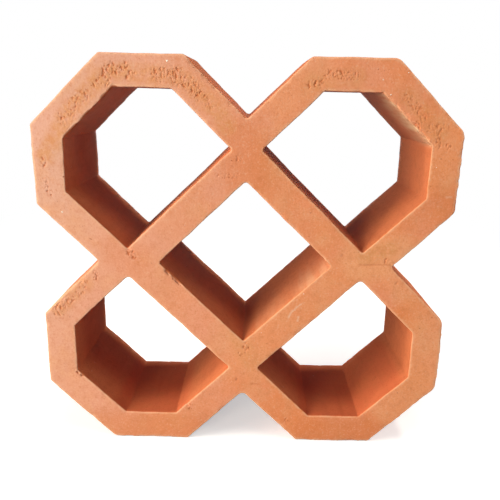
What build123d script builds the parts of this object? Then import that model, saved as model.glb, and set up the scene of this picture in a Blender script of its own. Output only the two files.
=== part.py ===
from build123d import *
import os
from math import hypot

# Fired clay screen block, one piece: four cornered cells stand round a middle diamond.
# The section is the same all the way through, from the face at -Y to the back at +Y.
# Millimetres, +Z up, origin at the middle of the base.

# Overall size as fired
block_width = 203.0
block_height = 197.0
block_depth = 60.0

# Thickness of the walls, measured square to them
rim_wall = 15.0
diamond_wall = 15.6

# Where the lattice lies, measured up the face
notch_depth = 28.3
corner_cut = 32.4
diamond_height = 83.0

# Rounding left by the die and by handling
outer_corner_radius = 1.6
notch_radius = 1.2
cell_corner_radius = 1.0
arris_radius = 0.6

half_width = block_width / 2
half_height = block_height / 2

# Every sloping wall runs along one of the block's two diagonals. Points are given as shares of
# the half width and half height, so a sloping line is known by its level: the share of the half
# height at which it crosses the upright centre line.
level_per_mm = hypot(1 / half_width, 1 / half_height)

# Rising lines: the V of a notch, and the cell side of the wall below it
notch_level = 1 - notch_depth / half_height
arm_level = notch_level - rim_wall * level_per_mm

# Falling lines, from the outer corner inwards: the corner cut, its cell side, and the two sides
# of a bar of the middle diamond
cut_level = 2 - corner_cut / half_height
cut_inner_level = cut_level - rim_wall * level_per_mm
diamond_level = diamond_height / block_height
bar_level = diamond_level + diamond_wall * level_per_mm

# The flat stretches of the rim, inside
rim_x = 1 - rim_wall / half_width
rim_z = 1 - rim_wall / half_height


def crossing(rising, falling):
    """The point where a rising line and a falling line meet, in the upper right quarter."""
    return ((falling - rising) / 2, (falling + rising) / 2)


def closed_outline(points, radii):
    """A closed face through points given as shares of the half sizes, each corner rounded."""
    corners = [(across * half_width, up * half_height) for across, up in points]
    return make_face(Plane.XZ * FilletPolyline(*corners, radius=radii, close=True))


def quarter_turned(point, turns):
    """A point of the upper right quarter, moved that many quarters clockwise."""
    across, up = point
    for _ in range(turns):
        across, up = up, -across
    return (across, up)


def mirrored(point, sign_x, sign_z):
    """A point of the upper right quarter, mirrored into another quarter."""
    return (point[0] * sign_x, point[1] * sign_z)


def block_outline():
    """The whole outer edge, with a V notch in the middle of each of its four sides."""
    notch = (0, notch_level)
    quarter = [
        notch,
        (1 - notch_level, 1),
        (cut_level - 1, 1),
        (1, cut_level - 1),
        (1, 1 - notch_level),
    ]
    points = [quarter_turned(point, turns) for turns in range(4) for point in quarter]
    radii = [notch_radius if point is notch else outer_corner_radius for point in quarter] * 4
    return closed_outline(points, radii)


def corner_cell(sign_x, sign_z):
    """A cell with six corners: a square on its point, less its two outer points."""
    near_top = crossing(arm_level, bar_level)
    quarter = [
        near_top,
        (rim_z - arm_level, rim_z),
        (cut_inner_level - rim_z, rim_z),
        (rim_x, cut_inner_level - rim_x),
        (rim_x, rim_x - arm_level),
        (near_top[1], near_top[0]),
    ]
    points = [mirrored(point, sign_x, sign_z) for point in quarter]
    return closed_outline(points, [cell_corner_radius] * len(points))


def middle_diamond():
    """The middle cell, a square on its point."""
    points = [quarter_turned((0, diamond_level), turns) for turns in range(4)]
    return closed_outline(points, [cell_corner_radius] * len(points))


def screen_block():
    """The block standing on its two lower flats, with its arrises eased on both faces."""
    section = block_outline() - middle_diamond()
    for sign_x in (1, -1):
        for sign_z in (1, -1):
            section -= corner_cell(sign_x, sign_z)
    body = extrude(section, amount=block_depth / 2, both=True)
    by_depth = body.faces().sort_by(Axis.Y)
    arrises = by_depth[0].edges() + by_depth[-1].edges()
    body = fillet(arrises, arris_radius)
    return Pos(0, 0, half_height) * body


os.makedirs("parts", exist_ok=True)
block = screen_block()
export_step(block, "parts/lattice_block.step")
print("volume", round(block.volume / 1000, 1), "cm3", "size", block.bounding_box().size)
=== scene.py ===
"""A pierced screen block of unglazed fired clay, dressed and lit for its picture.

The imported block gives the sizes: its section is cut at mid depth and laid out again as two cut faces.
Geometry Nodes then make the block as the works did. They press the section through its depth, ripple the
walls as the die does, tear the faces as the wire does, and chip the arrises. Lengths in the fields are
millimetres, and meshes are in metres, in the block's own frame.
"""

from __future__ import annotations

import logging
import math
import random
from dataclasses import dataclass, field
from enum import Enum

import bmesh
import bpy
import numpy as np
from mathutils import Euler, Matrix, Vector
from mathutils.geometry import delaunay_2d_cdt
from mathutils.kdtree import KDTree

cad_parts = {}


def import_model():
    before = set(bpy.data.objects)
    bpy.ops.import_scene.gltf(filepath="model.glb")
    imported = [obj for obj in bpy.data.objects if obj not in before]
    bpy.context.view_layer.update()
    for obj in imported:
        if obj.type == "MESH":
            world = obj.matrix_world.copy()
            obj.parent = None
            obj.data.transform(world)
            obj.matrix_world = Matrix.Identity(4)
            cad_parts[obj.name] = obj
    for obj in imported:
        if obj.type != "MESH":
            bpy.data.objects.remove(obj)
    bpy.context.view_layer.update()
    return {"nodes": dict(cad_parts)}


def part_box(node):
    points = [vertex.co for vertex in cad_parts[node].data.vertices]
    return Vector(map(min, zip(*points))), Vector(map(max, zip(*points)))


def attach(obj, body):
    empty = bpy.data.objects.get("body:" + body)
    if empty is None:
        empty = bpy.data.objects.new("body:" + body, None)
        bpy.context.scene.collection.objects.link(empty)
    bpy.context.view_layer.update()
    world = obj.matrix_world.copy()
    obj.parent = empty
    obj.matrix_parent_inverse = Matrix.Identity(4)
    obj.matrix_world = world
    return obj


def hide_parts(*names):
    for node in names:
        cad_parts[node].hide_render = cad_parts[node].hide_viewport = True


log = logging.getLogger("screen_block")

MM = 0.001
ROOT_BODY = "root"
BLOCK_NODE = "lattice_block"
GRAIN_RADIUS = "radius"

# A Mix node has a set of sockets for each kind of data, and these are the ones for its colours and numbers.
MIX_SHARE, MIX_FIRST_NUMBER, MIX_SECOND_NUMBER, MIX_UNDER, MIX_OVER, MIXED_COLOUR = 0, 2, 3, 6, 7, 2


class Skin(str, Enum):
    """What the press notes at each point, by the name that the nodes read."""

    # Where the point lay on the front rim before the press drew it back.
    RIM_PLACE = "rim_place"
    # The way out of the clay at the nearest rim.
    OUTWARD = "outward"
    # How far the nearest arris is.
    RIM_GAP = "rim_gap"
    # How square the skin lies to the cut: 1 on a face, 0 on a wall.
    CUT_FACE = "cut_face"
    # How near an arris is, where chips break off it and, closer in, where it is rubbed and a highlight is
    # painted.
    ARRIS = "arris"
    RUBBED = "rubbed"
    # How deep a pit is.
    PIT = "pit"


class Mark(str, Enum):
    """The ways in which the clay is marked, by the name that the nodes read."""

    # Torn by grit under the cutting wire.
    TORN = "torn"
    # Rubbed by the wire to a sandy tan.
    GRAZED = "grazed"
    # Bumped along an arris, so that its line wavers.
    NIBBLED = "nibbled"
    # Scored by a grain that was drawn along the face.
    SCORED = "scored"
    # Scraped pale in handling.
    SCRAPED = "scraped"
    # Paler where more salts dried.
    PALED = "paled"
    # Redder where no dust was left.
    WIPED = "wiped"
    # Pale dust on a wall, with painted light: a pool of lamp light and a grazing sheen laid on some walls.
    DUSTED = "dusted"
    # Painted shade: the cells' lower walls redder and darker, as only light bounced off the clay reaches
    # them.
    FLASHED = "flashed"


# The notes and marks that the clay's colour reads. The others only shape the clay.
SHOWN = (Skin.CUT_FACE, Skin.RUBBED, Skin.PIT,
         Mark.GRAZED, Mark.SCRAPED, Mark.PALED, Mark.WIPED, Mark.DUSTED, Mark.FLASHED)


def linear(code: str) -> tuple[float, float, float, float]:
    """Turns an sRGB colour to linear light.

    Args:
        code: the colour as a hex code, such as "#E39565".

    Returns:
        Red, green, blue and an alpha of 1.
    """
    shares = [int(code[place:place + 2], 16) / 255 for place in (1, 3, 5)]
    lit = [share / 12.92 if share <= 0.04045 else ((share + 0.055) / 1.055) ** 2.4 for share in shares]
    return (*lit, 1.0)


def add(tree: bpy.types.NodeTree, kind: str, inputs: dict[str | int, object] | None = None,
        out: str | int = 0, **settings: object) -> bpy.types.NodeSocket | None:
    """Adds one node with its settings and links.

    Args:
        tree: the tree that gets the node.
        kind: the node's type.
        inputs: by name or number, a socket to link from or a value to set.
        out: the name or number of the output that is wanted.
        settings: the node's own properties.

    Returns:
        That output, or None for a node that has no outputs.
    """
    node = tree.nodes.new(kind)
    for name, value in settings.items():
        setattr(node, name, value)
    for key, value in (inputs or {}).items():
        if isinstance(value, bpy.types.NodeSocket):
            tree.links.new(value, node.inputs[key])
        else:
            node.inputs[key].default_value = value
    return node.outputs[out] if node.outputs else None


@dataclass(frozen=True)
class Mottling:
    """Soft patches in a fired surface."""

    # How large a patch is along X, Y and Z.
    grain: tuple[float, float, float]
    # The noise, from about 0.2 to 0.8, at which a patch starts and at which it is full.
    start: float = 0.0
    full: float = 1.0
    # How much of a full patch shows.
    share: float = 1.0
    seed: float = 0.0
    # How many finer layers lie on it, and how strong each is, as a share of the coarser one before it.
    finer: float = 3.0
    finer_share: float = 0.6

    def lay(self, tree: bpy.types.NodeTree, place: bpy.types.NodeSocket) -> bpy.types.NodeSocket:
        """Lays the patches out.

        Args:
            tree: the material's tree.
            place: Object coordinates.

        Returns:
            How much of a patch shows at each place.
        """
        scale = [1 / (size * MM) for size in self.grain]
        grains = add(tree, "ShaderNodeVectorMath", {0: place, 1: scale}, operation="MULTIPLY")
        noise = add(tree, "ShaderNodeTexNoise", {
            "Vector": grains, "W": self.seed, "Scale": 1.0, "Detail": self.finer,
            "Roughness": self.finer_share,
        }, noise_dimensions="4D")
        limits = {"Value": noise, "From Min": self.start, "From Max": self.full, "To Max": self.share}
        return add(tree, "ShaderNodeMapRange", limits)


def new_finish(name: str) -> tuple[bpy.types.Material, bpy.types.NodeTree, bpy.types.NodeSocket]:
    """Starts a material.

    Args:
        name: the material's name.

    Returns:
        The material, its empty tree, and its Object coordinates.
    """
    material = bpy.data.materials.new(name)
    material.use_nodes = True
    material.node_tree.nodes.clear()
    return material, material.node_tree, add(material.node_tree, "ShaderNodeTexCoord", out="Object")


@dataclass(frozen=True)
class FiredTerracotta:
    """Terracotta, pressed through a die, cut with a wire and fired without glaze.

    Iron and lime in the clay give an orange. It is painted paler and pinker towards the upper left, where the
    lamps hang, as a painted sheen, and it goes tan where the wire rubbed the faces. The skin is matte and
    open, so it shows sand, pinholes and soft clouds, but no gloss. The walls keep the die's denser, redder
    skin, with soft streaks along the depth, and the cells' lower walls are painted redder and darker as
    painted shade. A tear shows the darker core, deepened by painted shade in the pit, and the arris is paler,
    partly rubbed and partly a painted highlight. Patches have their real size, unless a comment says
    otherwise.
    """

    name: str = "fired_terracotta"
    orange: str = "#EA8A50"
    # Painted sheen: the paler, pinker orange towards the upper left, where the lamps hang.
    painted_sheen: str = "#DFA786"
    pink: str = "#EBA588"
    tan: str = "#E6A06C"
    deep_orange: str = "#D67638"
    salt: str = "#F0A56F"
    sandy_tan: str = "#D99257"
    die_skin: str = "#D17443"
    # Painted shade: the redder, darker colour of the cells' shaded lower walls.
    bounce_shade_skin: str = "#CC4A26"
    streak: str = "#AC5029"
    wall_bloom: str = "#DA7F4A"
    # Partly dust, partly painted light on the walls.
    wall_dust_and_light: str = "#E4B585"
    # The torn core's colour, which also stands as painted shade in the pits and pinholes.
    core_and_shade: str = "#BE6638"
    # Partly rubbed wear, partly a painted highlight along the arrises.
    rubbed: str = "#F0B98A"
    ochre_sand: str = "#CD7742"
    pale_sand: str = "#EDBB94"
    roughness: float = 0.86
    specular: float = 0.16
    # How much of the core's colour the deepest pit shows: partly the torn core, partly painted shade in the
    # pit.
    pit_stain_and_shade: float = 0.85
    # How square to the cut the skin lies where the walls' colour starts, and where it is full.
    wall_from: float = 0.7
    wall_full: float = 0.15
    # Painted sheen: the paler, pinker orange fades along this way, from low X and high Z, where the lamps
    # hang.
    sheen_way: tuple[float, float, float] = (1.0, 0.0, -0.35)
    sheen_from: float = 75.0
    sheen_to: float = -145.0
    sheen_falloff: float = 2.0
    # Clouds where salts dried, wide ones and others a thumb wide.
    cloud: Mottling = Mottling((36.0, 36.0, 36.0), 0.42, 0.60, 0.26, 3.1)
    bloom: Mottling = Mottling((14.0, 14.0, 17.0), 0.50, 0.70, 0.56, 7.7)
    # Specks of darker clay that the mixer left.
    mottle: Mottling = Mottling((3.4, 3.4, 3.4), 0.50, 0.78, 0.42, 1.9)
    # Real sand is about 0.3 mm across: too fine for the picture, so it is drawn three times as coarse.
    dark_sand: Mottling = Mottling((0.9, 0.9, 0.9), 0.54, 0.76, 0.60, 5.3)
    light_sand: Mottling = Mottling((0.9, 0.9, 0.9), 0.46, 0.24, 0.50, 5.3)
    sand_relief: Mottling = Mottling((0.9, 0.9, 0.9), seed=5.3)
    # Only the middle of a patch is a hole, under half a millimetre wide.
    pinholes: Mottling = Mottling((1.5, 1.5, 1.5), 0.69, 0.77, 1.0, 9.2)
    # Grains that caught on the die's lip drew streaks most of the way through the depth.
    die_streaks: Mottling = Mottling((3.6, 40.0, 3.6), 0.50, 0.76, 0.22, 3.7)
    # How patchy the wire's rubbing, the dust and painted light on the walls, and the rubbed arrises with
    # their painted highlight are.
    graze: Mottling = Mottling((3.0, 3.0, 3.0), 0.30, 0.58, 1.0, 6.0)
    dusting: Mottling = Mottling((4.0, 30.0, 4.0), 0.25, 0.62, 1.0, 1.2)
    rubbing_and_highlight: Mottling = Mottling((5.0, 5.0, 5.0), 0.30, 0.56, 0.6, 2.7)
    # Fine lines stand upright on the cut faces, as the wire went, and run back along the walls.
    wire_lines: Mottling = Mottling((1.1, 8.0, 14.0), seed=2.2, finer=2.0)
    die_lines: Mottling = Mottling((2.2, 40.0, 2.2), share=0.3, seed=8.4)
    # How high the lines and the sand stand, and how deep the pinholes go.
    line_height: float = 0.05
    sand_height: float = 0.09
    hole_depth: float = 0.25
    # How much of the sand's relief the die left on the walls.
    wall_sand: float = 0.35

    def build(self) -> bpy.types.Material:
        """Makes the material.

        Returns:
            The clay's material, on Object coordinates and the skin's own attributes.
        """
        material, tree, place = new_finish(self.name)
        shader = add(tree, "ShaderNodeBsdfPrincipled", {
            "Base Color": self._colour(tree, place),
            "Roughness": self.roughness,
            "Specular IOR Level": self.specular,
            "Normal": self._relief(tree, place),
        })
        add(tree, "ShaderNodeOutputMaterial", {"Surface": shader})
        return material

    def _colour(self, tree: bpy.types.NodeTree, place: bpy.types.NodeSocket) -> bpy.types.NodeSocket:
        """Builds the clay's colour, coat by coat.

        Args:
            tree: the material's tree.
            place: Object coordinates.

        Returns:
            The colour's socket.
        """
        skin = {name: add(tree, "ShaderNodeAttribute", out="Fac", attribute_name=name.value)
                for name in SHOWN}
        # Painted sheen: a share that grows towards low X and high Z, where the lamps hang.
        across = add(tree, "ShaderNodeVectorMath", {
            0: place, 1: self.sheen_way}, "Value", operation="DOT_PRODUCT")
        sheen_share = add(tree, "ShaderNodeMapRange", {
            "Value": across, "From Min": self.sheen_from * MM, "From Max": self.sheen_to * MM})
        sheen_share = add(tree, "ShaderNodeMath", {0: sheen_share, 1: self.sheen_falloff}, operation="POWER")
        wall = add(tree, "ShaderNodeMapRange", {
            "Value": skin[Skin.CUT_FACE], "From Min": self.wall_from, "From Max": self.wall_full})
        bloom, mottle, dark_sand = (
            patches.lay(tree, place) for patches in (self.bloom, self.mottle, self.dark_sand))
        # Each coat is a colour and the shares that are multiplied to tell how much of it shows.
        coats = (
            # Painted sheen, paler and pinker towards the upper left.
            (self.painted_sheen, sheen_share),
            (self.pink, self.cloud.lay(tree, place)),
            (self.tan, bloom),
            (self.deep_orange, skin[Mark.WIPED]),
            (self.salt, skin[Mark.PALED]),
            (self.sandy_tan, skin[Mark.GRAZED], self.graze.lay(tree, place)),
            (self.ochre_sand, dark_sand),
            (self.pale_sand, self.light_sand.lay(tree, place)),
            (self.die_skin, wall),
            (self.wall_bloom, wall, bloom),
            (self.streak, wall, mottle),
            (self.streak, wall, dark_sand),
            # Painted shade on the cells' lower walls.
            (self.bounce_shade_skin, wall, skin[Mark.FLASHED]),
            (self.streak, wall, self.die_streaks.lay(tree, place)),
            # Dust and painted light on the walls: paler where a lamp reaches a wall at a grazing angle.
            (self.wall_dust_and_light, skin[Mark.DUSTED], self.dusting.lay(tree, place), wall),
            (self.ochre_sand, mottle),
            # The core's colour in the pinholes and pits: partly the torn core, partly painted shade that
            # deepens with the pit.
            (self.core_and_shade, self.pinholes.lay(tree, place)),
            (self.core_and_shade, skin[Skin.PIT], self.pit_stain_and_shade),
            (self.pale_sand, skin[Mark.SCRAPED]),
            # Rubbed arrises, partly a painted highlight.
            (self.rubbed, skin[Skin.RUBBED], self.rubbing_and_highlight.lay(tree, place)),
        )
        clay = linear(self.orange)
        for colour, share, *others in coats:
            for other in others:
                share = add(tree, "ShaderNodeMath", {0: share, 1: other}, operation="MULTIPLY")
            layers = {MIX_SHARE: share, MIX_UNDER: clay, MIX_OVER: linear(colour)}
            clay = add(tree, "ShaderNodeMix", layers, MIXED_COLOUR, data_type="RGBA")
        return clay

    def _relief(self, tree: bpy.types.NodeTree, place: bpy.types.NodeSocket) -> bpy.types.NodeSocket:
        """Builds what is too fine for the mesh: sand grain, pinholes, and the lines of the wire and the die.

        Args:
            tree: the material's tree.
            place: Object coordinates.

        Returns:
            The bumped normal's socket.
        """
        cut_face = add(tree, "ShaderNodeAttribute", out="Fac", attribute_name=Skin.CUT_FACE.value)
        lines = add(tree, "ShaderNodeMix", {
            MIX_SHARE: cut_face,
            MIX_FIRST_NUMBER: self.die_lines.lay(tree, place),
            MIX_SECOND_NUMBER: self.wire_lines.lay(tree, place),
        })
        sand = add(tree, "ShaderNodeMapRange", {"Value": cut_face, "To Min": self.wall_sand})
        sand = add(tree, "ShaderNodeMath", {
            0: self.sand_relief.lay(tree, place), 1: sand}, operation="MULTIPLY")
        holes = add(tree, "ShaderNodeMath", {
            0: 1.0, 1: self.pinholes.lay(tree, place)}, operation="SUBTRACT")
        normal = add(tree, "ShaderNodeBump", {"Distance": self.line_height * MM, "Height": lines})
        for height, relief in ((self.sand_height, sand), (self.hole_depth, holes)):
            bump = {"Distance": height * MM, "Height": relief, "Normal": normal}
            normal = add(tree, "ShaderNodeBump", bump)
        return normal


@dataclass(frozen=True)
class BurntLime:
    """Lime grit burnt in the kiln: a chalky cream, with no gloss."""

    name: str = "burnt_lime"
    cream: str = "#F8EAD4"
    clay_dust: str = "#EBC7A0"
    roughness: float = 0.9
    specular: float = 0.2
    dusting: Mottling = Mottling((1.5, 1.5, 1.5), 0.45, 0.70, 1.0, 4.4)

    def build(self) -> bpy.types.Material:
        """Makes the material.

        Returns:
            The grit's material.
        """
        material, tree, place = new_finish(self.name)
        layers = {MIX_SHARE: self.dusting.lay(tree, place), MIX_UNDER: linear(self.cream),
                  MIX_OVER: linear(self.clay_dust)}
        shader = add(tree, "ShaderNodeBsdfPrincipled", {
            "Base Color": add(tree, "ShaderNodeMix", layers, MIXED_COLOUR, data_type="RGBA"),
            "Roughness": self.roughness,
            "Specular IOR Level": self.specular,
        })
        add(tree, "ShaderNodeOutputMaterial", {"Surface": shader})
        return material


def seen_ray(tree: bpy.types.NodeTree) -> bpy.types.NodeSocket:
    """Tells rays that show the background from rays that light the block.

    Args:
        tree: the material's or the world's tree.

    Returns:
        A socket that is 1 for camera, glossy and transmission rays.
    """
    path = add(tree, "ShaderNodeLightPath").node.outputs
    mirrored = {0: path["Is Glossy Ray"], 1: path["Is Transmission Ray"]}
    either = {0: path["Is Camera Ray"], 1: add(tree, "ShaderNodeMath", mirrored, operation="MAXIMUM")}
    return add(tree, "ShaderNodeMath", either, operation="MAXIMUM")


@dataclass(frozen=True)
class PaleFloor:
    """A plain white board. It shows the block's shadow close by, and melts into the backdrop further off."""

    name: str = "pale_floor"
    board: str = "#F6F1E4"
    # The board's colour for the light that it throws back on the block.
    thrown_back: str = "#70707C"
    # How much pure white is added to what the camera sees of the board.
    lift: float = 0.50
    # How far from the block's middle the board starts to melt into the backdrop, and has melted.
    near: float = 160.0
    far: float = 620.0

    def build(self) -> bpy.types.Material:
        """Makes the material.

        Returns:
            The floor's material: white to the camera, and grey in the light that it throws back.
        """
        material, tree, place = new_finish(self.name)
        reach = add(tree, "ShaderNodeVectorMath", {0: place}, "Value", operation="LENGTH")
        melt = add(tree, "ShaderNodeMapRange", {
            "Value": reach, "From Min": self.near * MM, "From Max": self.far * MM,
        }, interpolation_type="SMOOTHSTEP")
        seen = seen_ray(tree)
        sides = {MIX_SHARE: seen, MIX_UNDER: linear(self.thrown_back), MIX_OVER: linear(self.board)}
        colour = add(tree, "ShaderNodeMix", sides, MIXED_COLOUR, data_type="RGBA")
        board = add(tree, "ShaderNodeBsdfDiffuse", {"Color": colour})
        lift = add(tree, "ShaderNodeMath", {0: seen, 1: self.lift}, operation="MULTIPLY")
        glow = add(tree, "ShaderNodeEmission", {"Strength": lift})
        lifted = add(tree, "ShaderNodeAddShader", {0: board, 1: glow})
        backdrop = add(tree, "ShaderNodeEmission", {"Strength": seen})
        shader = add(tree, "ShaderNodeMixShader", {0: melt, 1: lifted, 2: backdrop})
        add(tree, "ShaderNodeOutputMaterial", {"Surface": shader})
        return material


@dataclass
class Outline:
    """One closed edge of the block's section, with the clay on its left."""

    corners: np.ndarray
    outer: bool
    # The fewest straight parts that make a corner's arc.
    least_parts: int = 3

    def turning(self) -> np.ndarray:
        """Finds how far the edge turns at each corner.

        Returns:
            Each corner's turn to the left, in radians.
        """
        before = self.corners - np.roll(self.corners, 1, axis=0)
        after = np.roll(self.corners, -1, axis=0) - self.corners
        cross = before[:, 0] * after[:, 1] - before[:, 1] * after[:, 0]
        return np.arctan2(cross, (before * after).sum(1))

    def rounded(self, radii: np.ndarray, step: float) -> tuple[np.ndarray, np.ndarray]:
        """Lays points along the edge, with an arc at each corner.

        Args:
            radii: one radius for each corner.
            step: the distance between points.

        Returns:
            The points, and at each the direction out of the clay.
        """
        places, outward = [], []
        turns = self.turning()
        count = len(self.corners)
        reach = radii * np.tan(np.abs(turns) / 2)
        for index, here in enumerate(self.corners):
            following = (index + 1) % count
            way_in = here - self.corners[index - 1]
            way_in /= np.linalg.norm(way_in)
            side = np.array([way_in[1], -way_in[0]])
            hand = math.copysign(radii[index], turns[index])
            centre = here - way_in * reach[index] - side * hand
            parts = max(self.least_parts, round(abs(turns[index] * hand) / step))
            for angle in np.linspace(0.0, turns[index], parts + 1):
                cosine, sine = math.cos(angle), math.sin(angle)
                turned = np.array([side[0] * cosine - side[1] * sine, side[0] * sine + side[1] * cosine])
                places.append(centre + turned * hand)
                outward.append(turned)
            run = self.corners[following] - here
            way_out = run / np.linalg.norm(run)
            length = np.linalg.norm(run) - reach[index] - reach[following]
            parts = max(1, round(length / step))
            for share in np.arange(1, parts) / parts:
                places.append(here + way_out * (reach[index] + length * share))
                outward.append(np.array([way_out[1], -way_out[0]]))
        return np.array(places), np.array(outward)


@dataclass
class MarkedBand:
    """A band of one mark, along a line of points given as X and Z."""

    mark: Mark
    line: tuple[tuple[float, float], ...]
    half_width: float
    strength: float = 1.0
    # How far from its line the band has faded out, in half widths.
    faded: float = 1.5

    def share(self, places: np.ndarray) -> np.ndarray:
        """How strongly the band marks each place.

        Args:
            places: X and Z of each place.

        Returns:
            A share from 0 to the band's strength, for each place.
        """
        nearest = np.full(len(places), np.inf)
        for start, end in zip(self.line, self.line[1:]):
            start, way = np.array(start), np.array(end) - np.array(start)
            along = np.clip(((places - start) @ way) / (way @ way), 0, 1)
            nearest = np.minimum(nearest, np.linalg.norm(places - start - along[:, None] * way, axis=1))
        ease = np.clip(self.faded - nearest / self.half_width, 0, 1)
        return self.strength * ease * ease * (3 - 2 * ease)


@dataclass
class WornCorner:
    """A corner that is rounder than the die made the others, given as X and Z."""

    at: tuple[float, float]
    radius: float


def tone_marks() -> list[MarkedBand]:
    """Lists the broad patches of tone.

    Returns:
        Each patch at its place and as strong as it is.
    """
    grazed, paled, wiped = Mark.GRAZED, Mark.PALED, Mark.WIPED
    dusted, flashed = Mark.DUSTED, Mark.FLASHED
    return [
        MarkedBand(grazed, ((-95.0, 150.0), (-84.0, 168.5), (-69.0, 185.0), (-58.0, 189.0)), 4.2, 0.75),
        MarkedBand(grazed, ((-58.0, 188.5), (-31.0, 187.0), (-20.0, 178.0), (-9.0, 166.0)), 4.2, 0.60),
        MarkedBand(grazed, ((-91.0, 175.0), (-74.0, 191.0)), 4.0, 0.25),
        MarkedBand(grazed, ((-94.0, 73.0), (-80.0, 86.0)), 4.0, 0.55),
        MarkedBand(grazed, ((28.0, 185.5), (50.0, 188.5)), 4.0, 0.45),
        MarkedBand(grazed, ((73.0, 180.0), (90.0, 164.0)), 4.0, 0.45),
        MarkedBand(grazed, ((59.0, 103.5), (71.0, 108.0)), 3.6, 0.70),
        MarkedBand(grazed, ((-3.0, 60.0), (4.0, 46.0)), 5.0, 0.45),
        MarkedBand(paled, ((58.0, 101.0), (76.0, 104.0)), 11.0, 0.75),
        MarkedBand(paled, ((76.0, 92.0), (90.0, 78.0)), 8.0, 0.30),
        MarkedBand(paled, ((2.0, 54.0), (6.0, 47.0)), 12.0, 0.35),
        MarkedBand(paled, ((10.0, 60.0), (50.0, 96.0)), 9.0, 0.25),
        MarkedBand(paled, ((94.0, 68.0), (95.0, 36.0), (80.0, 20.0)), 10.0, 0.45),
        MarkedBand(paled, ((92.0, 162.0), (95.0, 146.0)), 9.0, 0.35),
        MarkedBand(paled, ((18.0, 178.0), (32.0, 190.0)), 8.0, 0.20),
        MarkedBand(wiped, ((-74.0, 3.0), (-24.0, 3.0)), 12.0, 0.35),
        MarkedBand(wiped, ((38.0, 2.0), (72.0, 2.0)), 12.0, 0.50),
        MarkedBand(wiped, ((-2.0, 158.0), (2.0, 142.0)), 12.0, 0.42),
        MarkedBand(wiped, ((-62.0, 104.0), (-56.0, 100.0)), 9.0, 0.25),
        MarkedBand(wiped, ((99.0, 134.0), (99.0, 127.0)), 7.0, 0.40),
        # Dust and painted light: a pool of lamp light on the upper right cell's wall near its corner, and a
        # grazing sheen on the outer wall at low X.
        MarkedBand(dusted, ((63.0, 181.0), (75.0, 169.5), (85.5, 159.4)), 2.2, 1.0),
        MarkedBand(dusted, ((78.0, 166.5), (84.8, 160.0)), 2.0, 1.2),
        MarkedBand(dusted, ((-75.0, 169.5), (-60.0, 183.0)), 6.0, 0.20),
        MarkedBand(dusted, ((-100.0, 71.5), (-70.0, 100.0)), 3.0, 1.3),
        MarkedBand(dusted, ((42.5, 98.2), (30.0, 86.1)), 2.6, 0.50),
        MarkedBand(dusted, ((30.0, 86.1), (8.0, 64.8)), 2.6, 0.22),
        # Painted shade: the cells' lower walls, and the middle cell's lower left wall, redder and darker.
        MarkedBand(flashed, ((-66.0, 14.5), (-30.0, 14.5)), 6.0, 0.30),
        MarkedBand(flashed, ((34.0, 14.5), (68.0, 14.5), (84.0, 30.0)), 6.0, 0.34),
        MarkedBand(flashed, ((-40.0, 80.0), (0.0, 42.0)), 5.0, 0.22),
    ]


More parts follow.
